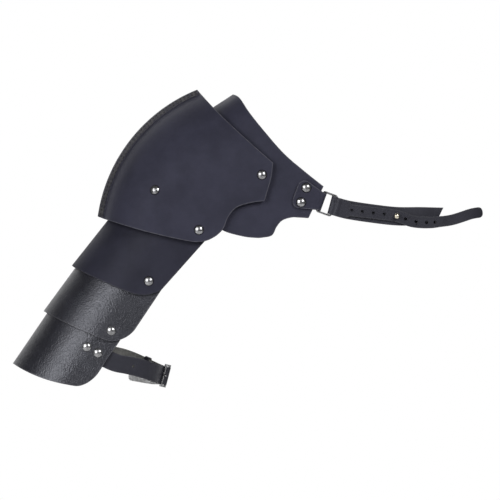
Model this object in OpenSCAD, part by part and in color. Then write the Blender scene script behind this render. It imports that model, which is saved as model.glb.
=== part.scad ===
// Leather shoulder armour for one arm: a sewn cap over a folded yoke, three arm plates that
// turn on rivets, an arm strap with a buckle, and a chest strap on a wire ring.
// X runs from the arm to the chest, Y from front to back, Z up. The origin is the middle of
// the wearer's shoulder joint, and the plates are alike in front and behind.

/* [Leather] */
// Thickness of the armour leather
leather_t = 2.6; // [2.2:0.1:3]
// Thickness of the strap leather
strap_t = 2.2; // [1.6:0.1:2.4]
// Gap between plates that slide over each other, at the rivets
lap_gap = 0.9; // [0.7:0.1:1.4]
// Gap between plates that slide over each other, at the outer side of the arm
side_gap = 1.8; // [1.6:0.1:2.4]
// Gap between pieces that are riveted together
seat_gap = 0.3; // [0.2:0.05:0.5]

/* [Cap] */
// Radius of the sewn ridge, to the edge of its seam allowance
ridge_r = 174; // [170:1:178]
// Width of the seam allowance at the lower end of the ridge
seam_low_w = 7.6; // [6:0.2:9]
// Width of the seam allowance at the upper end of the ridge
seam_top_w = 5; // [4:0.2:6]
// Distance in from the seam over which the cap rounds over, at the arm
cap_round_low = 46; // [42:1:56]
// Distance in from the seam over which the cap rounds over, at the neck
cap_round_top = 96; // [90:1:106]

/* [Yoke] */
// Half of the yoke's depth from front to back
yoke_depth = 68; // [62:1:74]
// Distance below the fold over which the yoke rounds over
yoke_round = 100; // [90:1:110]
// Slope of the fold over the shoulder, in degrees
fold_slope = 33; // [30:1:36]

/* [Arm plates] */
// Angle of the arm from straight down, in degrees
arm_tilt = 33.8; // [30:0.2:38]
// Half width of the first arm plate at its lower edge
arm_half_w = 67.9; // [66:0.1:70]
// Distance from the first pivot to the second along the arm
lame_1_pitch = 76; // [72:1:80]
// Distance from the second pivot to the third along the arm
lame_2_pitch = 67; // [63:1:71]
// Length of the third plate below its pivot
lame_3_length = 89; // [82:1:96]
// How far the first plate's outer edge hangs below the second pivot
lame_1_skirt = 32.7; // [30:0.5:36]
// How far the second plate's outer edge hangs below the third pivot
lame_2_skirt = 23.4; // [21:0.5:26]
// How far each plate runs up under the one above it at the outer side
lap_depth = 22; // [18:1:26]
// How far each plate runs up past its own pivot
pivot_margin = 12; // [10:0.5:14]

/* [Rivets] */
// Diameter of a rivet's head
rivet_head_d = 9.2; // [8:0.2:10]
// Height of a rivet's domed head
rivet_head_h = 2.2; // [1.8:0.1:2.6]
// Diameter of a rivet's shank
rivet_shank_d = 3; // [2.6:0.1:3.4]
// Clearance round a shank in its hole
shank_gap = 0.35; // [0.3:0.05:0.5]

/* [Chest strap and ring] */
// Reach of the chest strap from the ring's near side to its tip, along X
chest_reach = 175.5; // [160:1:200]
// Width of the chest strap
chest_strap_w = 20; // [18.6:0.2:20]
// Width of the chest strap's narrow tongue
tongue_w = 12.8; // [11:0.2:14]
// Width of the round end of the tab that holds the ring
tab_w = 31; // [29:0.5:33]
// Length of the tab from its round end to the ring's near side
tab_l = 28.7; // [27:0.1:31]
// Diameter of the ring's wire
ring_wire = 1.7; // [1.5:0.1:2]
// Distance between the ring's long sides
ring_l = 15.8; // [14.4:0.2:17]
// Inside width of the ring between its short sides
ring_w = 20.6; // [20.6:0.2:23]
// Diameter of the holes in the straps
strap_hole_d = 3.6; // [3:0.1:4]
// Distance between the holes of the chest strap
chest_hole_pitch = 11.8; // [11:0.2:13]
// Diameter of the button stud's ball
stud_d = 6; // [5:0.2:7]

/* [Arm strap and buckle] */
// Thickness of the arm strap
arm_strap_t = 1.8; // [1.6:0.1:2]
// Width of the arm strap
arm_strap_w = 19.8; // [16:0.2:20]
// Length of the buckle's frame, along the strap
buckle_l = 18; // [16:1:20]
// Inside width of the buckle's frame
buckle_w = 20.6; // [20.6:0.2:24]
// Thickness of the buckle's bars
buckle_bar = 2.2; // [2:0.1:2.8]
// Thickness of the prong
prong_d = 2; // [1.8:0.1:2.4]
// Width of the leather keeper along the strap
keeper_w = 6.5; // [5:0.5:8]

/* [Hidden] */
round_fn = 48;
leather = [0.12, 0.12, 0.15];
steel = [0.75, 0.75, 0.77];

// Vectors and curves
function unit(v) = v / norm(v);
function lerp(a, b, t) = a + (b - a) * t;
function clamp(x, low, high) = max(low, min(high, x));
function smooth_max(a, b, k) =
    let (h = clamp(0.5 + 0.5 * (a - b) / k, 0, 1)) lerp(b, a, h) + k * h * (1 - h);
function curve(p, t) =
    let (n = len(p) - 1, s = clamp(t, 0, 1) * n, i = min(floor(s), n - 1), f = s - i,
         p0 = p[max(i - 1, 0)], p1 = p[i], p2 = p[i + 1], p3 = p[min(i + 2, n)])
    0.5 * (2 * p1 + (p2 - p0) * f + (2 * p0 - 5 * p1 + 4 * p2 - p3) * f * f
           + (3 * p1 - p0 - 3 * p2 + p3) * f * f * f);
function flatten(rows) = [for (row = rows) each row];

// The arm's own directions: a down the arm and b outward, to X and Z, and back
function arm_to_xz(a, b) = [-a * sin(arm_tilt) - b * cos(arm_tilt), -a * cos(arm_tilt) + b * sin(arm_tilt)];
function xz_to_arm(x, z) = [-x * sin(arm_tilt) - z * cos(arm_tilt), -x * cos(arm_tilt) + z * sin(arm_tilt)];

// Pivots of the arm plates, in the arm's directions
pivots = [[-5, -25.2], [-5 + lame_1_pitch, -10.9], [-5 + lame_1_pitch + lame_2_pitch, -7]];

// Ridge of the cap, as a circle in the plane between front and back
ridge_c = [86.2, -19.5];
ridge_low = 172.6;
ridge_low_outer = 172;
ridge_top = 111.25;
ridge_top_outer = 111.8;
function ridge_point(r, angle) = ridge_c + r * [cos(angle), sin(angle)];
function seam_share(angle) = clamp((ridge_low - angle) / (ridge_low - ridge_top), 0, 1);
function seam_r(angle) = ridge_r - lerp(seam_low_w, seam_top_w, seam_share(angle));

// Depth of the yoke's outer face in front of the middle plane
fold_point = ridge_point(ridge_r - 15.5, 99.4);
cap_rivet_xz = [[-23.9, 33.3], [91.7, 49.5]];
under_cap_share = 0.73;
function below_fold(x, z) = (x - fold_point[0]) * sin(fold_slope) - (z - fold_point[1]) * cos(fold_slope);
function yoke_out(x, z) =
    let (full = yoke_round * lerp(under_cap_share, 1, clamp((x - cap_rivet_xz[0][0]) / 90, 0, 1)),
         n = clamp(below_fold(x, z) / full, 0, 1))
    yoke_depth * sqrt(1 - (1 - n) * (1 - n));
function yoke_normal(x, z) =
    let (e = 0.5, fx = yoke_out(x + e, z) - yoke_out(x - e, z), fz = yoke_out(x, z + e) - yoke_out(x, z - e))
    unit([-fx, -1, -fz]);

// Half width, half depth and front overhang of each arm plate, at a place along the arm
cap_low_a = 40.5;
lame_low = [pivots[1][0] + lame_1_skirt, pivots[2][0] + lame_2_skirt, pivots[2][0] + lame_3_length];
lame_top = [cap_low_a - lap_depth - 2, lame_low[0] - lap_depth, lame_low[1] - lap_depth];
width_flare = [0.08, 0.042, 0.008];
depth_flare = [0.037, 0.032, 0.015];
flank_sweep = 0.05;
function lame_w(k, a) = k == 0 ? arm_half_w + width_flare[0] * (a - lame_low[0])
    : lame_w(k - 1, lame_low[k - 1]) - leather_t - side_gap + width_flare[k] * (a - lame_low[k - 1]);
function lame_d(k, a) = k == 0 ? yoke_depth + seat_gap - lap_gap + depth_flare[0] * (a - pivots[0][0])
    : lame_d(k - 1, pivots[k][0]) - leather_t - lap_gap + depth_flare[k] * (a - pivots[k][0]);
function lame_out(k, a, b) = let (s = b / lame_w(k, a), d = lame_d(k, a))
    b > 0 ? d * sqrt(max(0, 1 - s * s)) : d * (1 - flank_sweep * s * s);

// Depth of the cap's outer face: it rounds over from the seam, and lies on the yoke and the arm plate
yoke_left = -36.5;
lame_reach = 25;
lame_side = 52;
function fall(d, slope) = d > 0 ? slope * d * d / (d + 6) : 0;
function cap_own(x, z) =
    let (v = [x, z] - ridge_c, turn = atan2(v[1], v[0]), angle = turn < 0 ? turn + 360 : turn, s = seam_share(angle),
         q = clamp((seam_r(angle) - norm(v)) / lerp(cap_round_low, cap_round_top, s), 0, 1))
    yoke_depth * lerp(1.04, 1.06, s) * pow(1 - (1 - q) * (1 - q), lerp(0.5, 0.8, s));
function cap_out(x, z) =
    let (ab = xz_to_arm(x, z),
         on_yoke = yoke_out(x, z) + seat_gap - fall(yoke_left - x, 2.5) - 4 * max(0, -below_fold(x, z)),
         on_arm = lame_out(0, ab[0], ab[1]) + lap_gap - fall(lame_top[0] - lame_reach - ab[0], 2.5)
                  - 4 * max(0, ab[1] - lame_side))
    leather_t + smooth_max(smooth_max(on_yoke, on_arm, 2), cap_own(x, z), 4);

// Grid of points between four sides: a and b run along u, c and d along v
function patch(a, b, c, d, us, vs) = let (m = len(us) - 1)
    [for (i = [0 : len(vs) - 1]) [for (j = [0 : m]) let (u = us[j], v = vs[i])
        lerp(a[j], b[j], v) + lerp(c[i], d[i], u) - lerp(lerp(a[0], a[m], u), lerp(b[0], b[m], u), v)]];

// Step from a point of the outer face to the inner face, for a wall of thickness 1
function wall_step(g, i, j) =
    let (r = len(g) - 1, c = len(g[0]) - 1,
         du = g[i][min(j + 1, c)] - g[i][max(j - 1, 0)],
         v1 = g[max(i, 1)][j] - g[max(i, 1) - 1][j],
         v2 = g[min(i, r - 1) + 1][j] - g[min(i, r - 1)][j],
         n1 = unit(cross(du, v1)), n2 = unit(cross(du, v2)))
    (n1 + n2) / (1 + n1 * n2);

// Closed leather sheet: a grid of points on its outer face, and its thickness
module sheet(g, t) {
    r = len(g);
    c = len(g[0]);
    inner = [for (i = [0 : r - 1]) [for (j = [0 : c - 1]) g[i][j] + t * wall_step(g, i, j)]];
    n = r * c;
    function at(i, j) = i * c + j;
    polyhedron(
        points = concat(flatten(g), flatten(inner)),
        faces = concat(
            [for (i = [0 : r - 2]) for (j = [0 : c - 2]) each
                [[at(i, j), at(i, j + 1), at(i + 1, j + 1)], [at(i, j), at(i + 1, j + 1), at(i + 1, j)]]],
            [for (i = [0 : r - 2]) for (j = [0 : c - 2]) each
                [[n + at(i, j), n + at(i + 1, j + 1), n + at(i, j + 1)],
                 [n + at(i, j), n + at(i + 1, j), n + at(i + 1, j + 1)]]],
            [for (i = [0 : r - 2]) each
                [[at(i, 0), at(i + 1, 0), n + at(i + 1, 0)], [at(i, 0), n + at(i + 1, 0), n + at(i, 0)],
                 [at(i, c - 1), n + at(i + 1, c - 1), at(i + 1, c - 1)],
                 [at(i, c - 1), n + at(i, c - 1), n + at(i + 1, c - 1)]]],
            [for (j = [0 : c - 2]) each
                [[at(0, j), n + at(0, j + 1), at(0, j + 1)], [at(0, j), n + at(0, j), n + at(0, j + 1)],
                 [at(r - 1, j), at(r - 1, j + 1), n + at(r - 1, j + 1)],
                 [at(r - 1, j), n + at(r - 1, j + 1), n + at(r - 1, j)]]]
        )
    );
}

// Front panel of the cap
cap_cols = 22;
cap_rows = 18;
cap_corner = [94.4, 21.4];
cap_shoulder = [103.7, 62.4];
cap_low_edge = [ridge_point(seam_r(ridge_low), ridge_low), [-54.1, -5.8], [-33.6, -11.6], [-9.8, -17.4],
                [11.8, -21.8], [22.5, -22.8], [33, -21], [42.5, -16]];
cap_wave = [[42.5, -16], [50.2, -8], [55.3, 4.2], [64, 14], [78, 19], cap_corner];
cap_neck_edge = [ridge_point(seam_r(ridge_top), ridge_top), [40.9, 120.6], [63, 99], [84.1, 79.7], cap_shoulder];
cap_right_edge = [cap_shoulder, [101.5, 46], cap_corner];
neck_share = 0.6;
function cap_side(v) = v < neck_share ? curve(cap_neck_edge, v / neck_share)
    : curve(cap_right_edge, (v - neck_share) / (1 - neck_share));

function cap_grid() =
    let (us = [for (j = [0 : cap_cols]) j / cap_cols],
         vs = [for (i = [0 : cap_rows]) pow(i / cap_rows, 1.5)],
         xz = patch([for (u = us) ridge_point(seam_r(lerp(ridge_low, ridge_top, u)), lerp(ridge_low, ridge_top, u))],
                    [for (u = us) curve(cap_wave, u)], [for (v = vs) curve(cap_low_edge, v)],
                    [for (v = vs) cap_side(v)], us, vs),
         edge = [for (u = us) ridge_point(ridge_r, lerp(ridge_low_outer, ridge_top_outer, u))])
    concat([[for (p = edge) [p[0], -leather_t, p[1]]]], [[for (p = xz[0]) [p[0], -leather_t, p[1]]]],
           [for (i = [1 : cap_rows]) [for (p = xz[i]) [p[0], -cap_out(p[0], p[1]), p[1]]]]);

module cap_panel() {
    difference() {
        sheet(cap_grid(), leather_t);
        through_hole(pivot_xz[0]);
        for (p = cap_rivet_xz) cap_hole(p);
    }
}

module cap_front_panel() {
    color(leather) cap_panel();
}

module cap_back_panel() {
    color(leather) mirror([0, 1, 0]) cap_panel();
}

// Yoke: one sheet folded over the shoulder, from the front wing's edge to the back wing's
yoke_cols = 26;
heel_cols = 22;
yoke_rows = 14;
yoke_tip = [158.1, 37.1];
yoke_heel = [142, 3];
yoke_fold_edge = [ridge_point(ridge_r - 28.4, 126.9), ridge_point(ridge_r - 27.9, 116.95),
                  ridge_point(ridge_r - 23.9, 108.4), ridge_point(ridge_r - 20, 103.6), fold_point];
yoke_neck_edge = [fold_point, ridge_point(ridge_r - 20.56, 97.00), ridge_point(ridge_r - 37.37, 93.36),
                  ridge_point(ridge_r - 56.77, 86.38), ridge_point(ridge_r - 77.19, 72.63), [137.1, 53.8], yoke_tip];
yoke_left_edge = [yoke_fold_edge[0], [-21, 72], [-31.3, 45], [-30.6, 27], [-22, 17]];
yoke_low_edge = [[-22, 17], [8, 9], [34, 4], [48.5, -9.9], [69, -16.4], [84.1, -18.4], [93.4, -18],
                 [102.7, -15.5], [107.7, -6.3], [113.9, 0.5], [123.8, 3.7], [132.7, 3.6], yoke_heel];
heel_share = heel_cols / yoke_cols;
function yoke_low(u) = u < heel_share ? curve(yoke_low_edge, u / heel_share)
    : lerp(yoke_heel, yoke_tip, (u - heel_share) / (1 - heel_share));

function yoke_half() =
    let (us = [for (j = [0 : yoke_cols]) j / yoke_cols],
         vs = [for (i = [0 : yoke_rows]) pow(i / yoke_rows, 1.8)],
         xz = patch([for (u = us) curve(yoke_fold_edge, u)], [for (u = us) yoke_low(u)],
                    [for (v = vs) curve(yoke_left_edge, v)], [for (v = vs) curve(yoke_neck_edge, v)], us, vs))
    [for (row = xz) [for (p = row) [p[0], -yoke_out(p[0], p[1]), p[1]]]];

module yoke() {
    half = yoke_half();
    back = [for (i = [yoke_rows : -1 : 1]) [for (p = half[i]) [p[0], -p[1], p[2]]]];
    color(leather) difference() {
        sheet(concat(back, half), leather_t);
        both_sides() for (p = cap_rivet_xz) cap_hole(p);
        for (p = tab_rivet_xz) through_hole(p);
    }
}

// Arm plates: each bends round the arm, and its corners are round at the front and back edges
front_overhang = [27.6, 27.2, 20.4];
front_slant = [0.139, 0, 0];
front_slant_from = [69, 0, 0];
low_rise = [18.2, 16.8, 24];
low_bow = [0.5, 0.5, 0.87];
low_corner = [[25, 16], [20, 22], [13, 18]];
top_corner = [12, 10];
bend_cols = 11;
flank_cols = 8;
lame_rows = 4;
function overhang(k, a) = front_overhang[k] + front_slant[k] * (front_slant_from[k] - a);
function corner_cut(size, e) = e >= size[0] ? 0 : size[1] * (1 - sqrt(max(0, 1 - pow(1 - e / size[0], 2))));
function lame_column(k, j) =
    let (turn = 90 * j / bend_cols, s = (j - bend_cols) / flank_cols, w = lame_w(k, lame_low[k]),
         h = front_overhang[k], b = j <= bend_cols ? w * cos(turn) : -h * sin(90 * s),
         f = (w - b) / (w + h), e = b + h,
         low = lame_low[k] - low_rise[k] * lerp(f, f * f, low_bow[k]) - corner_cut(low_corner[k], e),
         top = lerp(lame_top[k], pivots[k][0] - pivot_margin, f) + corner_cut(top_corner, e))
    [for (i = [0 : lame_rows]) let (a = lerp(low, top, i / lame_rows),
        bb = j <= bend_cols ? lame_w(k, a) * cos(turn) : -overhang(k, a) * sin(90 * s),
        y = j <= bend_cols ? lame_d(k, a) * sin(turn) : lame_out(k, a, bb), xz = arm_to_xz(a, bb))
        [xz[0], -y, xz[1]]];

module lame(k) {
    last = bend_cols + flank_cols;
    front = [for (j = [0 : last]) lame_column(k, j)];
    back = [for (j = [last : -1 : 1]) [for (p = front[j]) [p[0], -p[1], p[2]]]];
    color(leather) difference() {
        sheet(concat(back, front), leather_t);
        through_hole(pivot_xz[k]);
        if (k < 2) through_hole(pivot_xz[k + 1]);
        else for (p = strap_rivet_ab) through_hole(arm_to_xz(p[0], p[1]));
    }
}

module lame_1() { lame(0); }
module lame_2() { lame(1); }
module lame_3() { lame(2); }

// Frames, holes and rivets
module place(o, x, y, z) {
    multmatrix([[x[0], y[0], z[0], o[0]], [x[1], y[1], z[1], o[1]], [x[2], y[2], z[2], o[2]], [0, 0, 0, 1]])
        children();
}
module aim(p, n) {
    x = unit(cross([0, 0, 1], n));
    place(p, x, cross(n, x), n) children();
}
module both_sides() {
    children();
    mirror([0, 1, 0]) children();
}
rivet_hole_d = rivet_shank_d + 2 * shank_gap;
module through_hole(p) {
    translate([p[0], 0, p[1]]) rotate([90, 0, 0])
        cylinder(d = rivet_hole_d, h = 4 * yoke_depth, center = true, $fn = round_fn);
}
pivot_xz = [for (p = pivots) arm_to_xz(p[0], p[1])];
function cap_normal(x, z) =
    let (e = 0.5, fx = cap_out(x + e, z) - cap_out(x - e, z), fz = cap_out(x, z + e) - cap_out(x, z - e))
    unit([-fx, -1, -fz]);
module on_cap(p) {
    aim([p[0], -cap_out(p[0], p[1]), p[1]], cap_normal(p[0], p[1])) children();
}
module cap_hole(p) {
    on_cap(p) translate([0, 0, -14]) cylinder(d = rivet_hole_d, h = 18, $fn = round_fn);
}
// A double-capped rivet: its outer head stands on z = 0, and its inner head below the grip
rivet_rim = 0.5;
module rivet_head() {
    dome = rivet_head_h - rivet_rim;
    ball = (dome * dome + rivet_head_d * rivet_head_d / 4) / (2 * dome);
    translate([0, 0, seat_gap]) intersection() {
        cylinder(d = rivet_head_d, h = rivet_head_h, $fn = round_fn);
        translate([0, 0, rivet_head_h - ball]) sphere(r = ball, $fn = 2 * round_fn);
    }
}
module rivet(grip) {
    color(steel) {
        rivet_head();
        translate([0, 0, -grip]) mirror([0, 0, 1]) rivet_head();
        translate([0, 0, -grip - seat_gap - rivet_rim])
            cylinder(d = rivet_shank_d, h = grip + 2 * (seat_gap + rivet_rim), $fn = round_fn);
    }
}
module rivet_along_y(p, outer, inner) {
    translate([p[0], -outer, p[1]]) rotate([90, 0, 0]) rivet(outer - inner);
}
function yoke_inner(x, z) = [x, -yoke_out(x, z), z] - leather_t * yoke_normal(x, z);
function cap_grip(p) =
    let (n = cap_normal(p[0], p[1]), outer = [p[0], -cap_out(p[0], p[1]), p[1]],
         inner_x = p[0] - 2 * leather_t * n[0], inner_z = p[1] - 2 * leather_t * n[2], r = rivet_head_d / 2 + 0.3)
    max([for (turn = [0 : 30 : 330]) (outer - yoke_inner(inner_x + r * cos(turn), inner_z + r * sin(turn))) * n]) + 0.05;
module cap_rivets() {
    both_sides() for (p = cap_rivet_xz) on_cap(p) rivet(cap_grip(p));
}
function pivot_out(k) = k == 0 ? cap_out(pivot_xz[0][0], pivot_xz[0][1])
    : lame_out(k - 1, pivots[k][0], pivots[k][1]);
module pivot_rivets(k) {
    both_sides() rivet_along_y(pivot_xz[k], pivot_out(k), lame_out(k, pivots[k][0], pivots[k][1]) - leather_t);
}
module lame_1_pivots() { pivot_rivets(0); }
module lame_2_pivots() { pivot_rivets(1); }
module lame_3_pivots() { pivot_rivets(2); }

// Tab, ring and their own directions: x along the tab to the ring, y to the back, z along the ring's bars
ring_at = [154.7, 21.2];
ring_turn = 20;
tab_mid = yoke_depth - leather_t / 2;
tab_inner_r = leather_t / 2 + seat_gap;
tab_fold_w = ring_w - 0.8;
tab_corner_r = 8;
tab_rivet_x = 9.5;
tab_rivet_z = 8.4;
function ring_point(x, y, z) =
    [ring_at[0] + x * cos(ring_turn) + z * sin(ring_turn), -tab_mid + y,
     ring_at[1] - x * sin(ring_turn) + z * cos(ring_turn)];
tab_rivet_xz = [for (s = [-1, 1]) let (p = ring_point(tab_rivet_x - tab_l, 0, s * tab_rivet_z)) [p[0], p[2]]];
module on_tab() {
    translate([ring_at[0], -tab_mid, ring_at[1]]) rotate([0, ring_turn, 0]) children();
}
module tab_leg() {
    rotate([90, 0, 0]) linear_extrude(strap_t) difference() {
        hull() {
            translate([-1, -tab_fold_w / 2]) square([1, tab_fold_w]);
            for (s = [-1, 1])
                translate([tab_corner_r - tab_l, s * (tab_w / 2 - tab_corner_r)]) circle(tab_corner_r, $fn = 32);
        }
        for (s = [-1, 1])
            translate([tab_rivet_x - tab_l, s * tab_rivet_z]) circle(d = rivet_hole_d, $fn = round_fn);
    }
}
module tab() {
    color(leather) on_tab() {
        translate([0, -tab_inner_r, 0]) tab_leg();
        translate([0, tab_inner_r + strap_t, 0]) tab_leg();
        intersection() {
            difference() {
                cylinder(r = tab_inner_r + strap_t, h = tab_fold_w, center = true, $fn = round_fn);
                cylinder(r = tab_inner_r, h = tab_fold_w + 2, center = true, $fn = round_fn);
            }
            translate([0, -tab_l, -tab_l]) cube([tab_l, 2 * tab_l, 2 * tab_l]);
        }
    }
}
module front_tab() { tab(); }
module back_tab() { mirror([0, 1, 0]) tab(); }
module tab_rivets() {
    stack = leather_t / 2 + seat_gap + strap_t;
    both_sides() for (p = tab_rivet_xz) rivet_along_y(p, tab_mid + stack, tab_mid - stack);
}
ring_bend = 1.6;
module wire_ring() {
    w = ring_w + ring_wire;
    color(steel) on_tab() rotate([90, 0, 0]) {
        for (x = [0, ring_l]) translate([x, 0, 0])
            rotate([90, 0, 0]) cylinder(d = ring_wire, h = w - 2 * ring_bend, center = true, $fn = round_fn);
        for (z = [-w / 2, w / 2]) translate([ring_bend, z, 0])
            rotate([0, 90, 0]) cylinder(d = ring_wire, h = ring_l - 2 * ring_bend, $fn = round_fn);
        for (corner = [[ring_l - ring_bend, w / 2 - ring_bend, 0], [ring_bend, w / 2 - ring_bend, 90],
                       [ring_bend, ring_bend - w / 2, 180], [ring_l - ring_bend, ring_bend - w / 2, 270]])
            translate([corner[0], corner[1], 0]) rotate([0, 0, corner[2]]) rotate_extrude(angle = 90, $fn = round_fn)
                translate([ring_bend, 0]) circle(d = ring_wire, $fn = 24);
    }
}
module front_ring() { wire_ring(); }
module back_ring() { mirror([0, 1, 0]) wire_ring(); }

// Chest strap: from its cut end behind, round the ring's far bar, to the narrow tongue in front
chest_bend_r = ring_wire / 2 + 0.4 + strap_t;
shoulder_x = [181, 189];
// The tongue is a little narrower towards its tip, between these places
taper_x = [265, 290];
tip_share = 0.9;
// Slack of the fold round the ring's bar, at its lower and upper edge
fold_slack = [0.9, 2.6];
// Points of its route: share of the reach, then depth and height from the ring
function from_ring(route) = [for (p = route) [ring_at[0] + p[0] * chest_reach, p[1] - tab_mid, ring_at[1] + p[2]]];
chest_behind = concat([ring_point(ring_l, chest_bend_r, 0)], from_ring(
    [[0.1704, 2.4, -9.4], [0.3179, 0.6, -13.4], [0.4684, 1.6, -16.3], [0.6131, 7.7, -16.4], [0.7242, 16.2, -16.9]]));
chest_front = concat([ring_point(ring_l, -chest_bend_r, 0)], from_ring(
    [[0.1704, -2.4, -9.3], [0.3179, -4.2, -12.6], [0.4684, -3.2, -16], [0.5658, -0.8, -21.8],
     [0.6683, 3.7, -23.1], [0.7367, 8.7, -22.1], [0.792, 13.7, -20.85], [0.841, 18.7, -18.7],
     [0.9333, 29.2, -13.5], [1, 37.2, -11.8]]));
tip_round = 0.95;
chest_rows = 30;
tip_rows = 5;
bend_rows = 8;
function smooth_step(x, from, to) = let (s = clamp((x - from) / (to - from), 0, 1)) s * s * (3 - 2 * s);
function path_dir(p, t) = unit(curve(p, min(1, t + 0.01)) - curve(p, max(0, t - 0.01)));
function up_of(d) = unit([-d[2], 0, d[0]]);
function front_half_w(t) =
    lerp(chest_strap_w, tongue_w, smooth_step(curve(chest_front, t)[0], shoulder_x[0], shoulder_x[1])) / 2
    * lerp(1, tip_share, smooth_step(curve(chest_front, t)[0], taper_x[0], taper_x[1]))
    * (t <= tip_round ? 1 : sqrt(max(0.02, 1 - pow((t - tip_round) / (1 - tip_round), 2))));
function chest_front_row(t) =
    let (p = curve(chest_front, t), up = up_of(path_dir(chest_front, t)), h = front_half_w(t)) [p - h * up, p + h * up];
function chest_behind_row(t) =
    let (p = curve(chest_behind, t), up = up_of(path_dir(chest_behind, t)) + (t == 1 ? [0.5, 0, 0] : [0, 0, 0]))
    [p - chest_strap_w / 2 * up, p + chest_strap_w / 2 * up];
function chest_rows_all() = concat(
    [for (i = [14 : -1 : 1]) chest_behind_row(i / 14)],
    [for (i = [0 : bend_rows]) let (turn = 90 + 180 * i / bend_rows)
        [for (s = [-1, 1]) ring_point(ring_l + (chest_bend_r + fold_slack[(s + 1) / 2]) * cos(turn), chest_bend_r * sin(turn),
                                      s * chest_strap_w / 2)]],
    [for (i = [1 : chest_rows]) chest_front_row(tip_round * i / chest_rows)],
    [for (i = [1 : tip_rows]) chest_front_row(tip_round + (1 - tip_round) * sin(90 * i / tip_rows))]);
stud_t = 0.3;
function step_along(p, t, way) = t + way * chest_hole_pitch * 0.02 / norm(curve(p, t + 0.01) - curve(p, t - 0.01));
function steps(p, t, way, count) = count == 0 ? [] : let (s = step_along(p, t, way)) concat([s], steps(p, s, way, count - 1));
hole_ts = concat(steps(chest_front, stud_t, -1, 4), steps(chest_front, stud_t, 1, 4));
module on_chest_strap(t) {
    d = path_dir(chest_front, t);
    aim(curve(chest_front, t), cross(d, up_of(d))) children();
}
module chest_strap() {
    color(leather) difference() {
        sheet(chest_rows_all(), strap_t);
        for (t = hole_ts) on_chest_strap(t)
            translate([0, 0, -strap_t - 0.25]) cylinder(d = strap_hole_d, h = strap_t + 1, $fn = round_fn);
        on_chest_strap(stud_t) translate([0, 0, -3 * strap_t])
            cylinder(d = stud_neck_d + 0.8, h = 4 * strap_t, $fn = round_fn);
    }
}
// Ball stud: its neck stands in both layers of the chest strap, on a screw from behind
stud_neck_d = 2.8;
stud_screw_d = 1.6;
stud_stack = 2 * strap_t + 0.4;
module chest_stud() {
    color([0.8, 0.74, 0.55]) on_chest_strap(stud_t) difference() {
        union() {
            translate([0, 0, seat_gap + stud_d / 2]) sphere(d = stud_d, $fn = round_fn);
            translate([0, 0, -stud_stack]) cylinder(d = stud_neck_d, h = stud_stack + stud_d / 2, $fn = round_fn);
        }
        translate([0, 0, -stud_stack - 1]) cylinder(d = stud_screw_d, h = stud_stack, $fn = round_fn);
    }
}
module stud_screw() {
    color([0.8, 0.74, 0.55]) on_chest_strap(stud_t) translate([0, 0, -stud_stack - 0.1]) {
        translate([0, 0, -1.4]) cylinder(d = 7, h = 1.2, $fn = round_fn);
        translate([0, 0, -1.4]) cylinder(d = stud_screw_d - 0.2, h = stud_stack, $fn = round_fn);
    }
}

// Arm strap: both halves start inside the third plate and meet in the buckle at the inner side of the arm
strap_from_pivot = 28.4;
strap_a = pivots[2][0] + strap_from_pivot;
lining_gap = seat_gap + 0.15;
loop_start = -22;
loop_reach = 58.8;
// Each station: b, distance along the arm from strap_a, slope of the strap's width from straight up
front_line = [[14, 1.8, 31], [3, 0.9, 31], [-8.4, -0.2, 30], [-20, -0.5, 28.5], [-32, -2.9, 25], [-44, -8, 20],
              [-56, -12.5, 17], [-66, -15.2, 16], [-74, -17.1, 15]];
back_line = [[14, 1.8, 31], [3, 0.9, 31], [-8.4, -0.2, 30], [-20, -5.2, 27], [-32, -9.6, 23], [-44, -12.7, 21],
             [-56, -14.8, 19], [-66, -16.4, 16.5], [-74, -17.8, 15]];
// The billet's free end hangs lower than the strap: the same, and its distance out from that strap's face
billet_tail = [[-74, -16.6, 13, 3.6], [-66, -12.4, 10, 6], [-55.5, -7.4, 8, 7], [-44.9, -2.1, 6, 6.8]];
function loop_share(b) = clamp((loop_start - b) / loop_reach, 0, 1);
function loop_depth(b) = (b > loop_start ? lame_out(2, strap_a, b) : lame_out(2, strap_a, loop_start)
    * sqrt(1 - loop_share(b) * loop_share(b))) - (leather_t + lining_gap) * sqrt(1 - loop_share(b) * loop_share(b));
// Station of the strap's outer face: place, width direction; side -1 in front, 1 behind; out moves it outward
function loop_station(s, side, out) =
    let (b = s[0] - out * loop_share(s[0]), y = loop_depth(s[0]) + out * sqrt(1 - pow(loop_share(s[0]), 2)),
         p = arm_to_xz(strap_a + s[1], b))
    [p[0], side * y, p[1], sin(s[2]), 0, cos(s[2])];

// Buckle's own directions: t from front to back, u outward, w along its bars
buckle_turn = 12;
buckle_slope = 14.5;
buckle_rise = 19.3;
buckle_c = let (p = arm_to_xz(strap_a - buckle_rise, loop_start - loop_reach)) [p[0], 0, p[1]];
buckle_w_dir = [sin(buckle_slope), 0, cos(buckle_slope)];
buckle_out = [cos(buckle_slope), 0, -sin(buckle_slope)];
buckle_t_dir = [0, cos(buckle_turn), 0] + sin(buckle_turn) * buckle_out;
buckle_u_dir = cos(buckle_turn) * buckle_out - [0, sin(buckle_turn), 0];
function buckle_station(t, u) = concat(buckle_c + t * buckle_t_dir + u * buckle_u_dir, buckle_w_dir);
outer_bar_u = 2;
centre_bar_d = buckle_bar - 0.2;
fold_gap = 0.35;
fold_r = centre_bar_d / 2 + fold_gap + arm_strap_t;
billet_over = fold_r + seat_gap + arm_strap_t + 0.3;
bar_t = buckle_l / 2 + buckle_bar / 2;
under_bar = outer_bar_u - buckle_bar / 2 - seat_gap;
layer_gap = seat_gap + 0.25;
layer = arm_strap_t + layer_gap;
module in_buckle() {
    place(buckle_c, buckle_t_dir, buckle_u_dir, cross(buckle_t_dir, buckle_u_dir)) children();
}
function ribbon_row(s, h, flip) = let (p = [s[0], s[1], s[2]], w = [s[3], s[4], s[5]] * h) flip ? [p + w, p - w] : [p - w, p + w];

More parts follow.
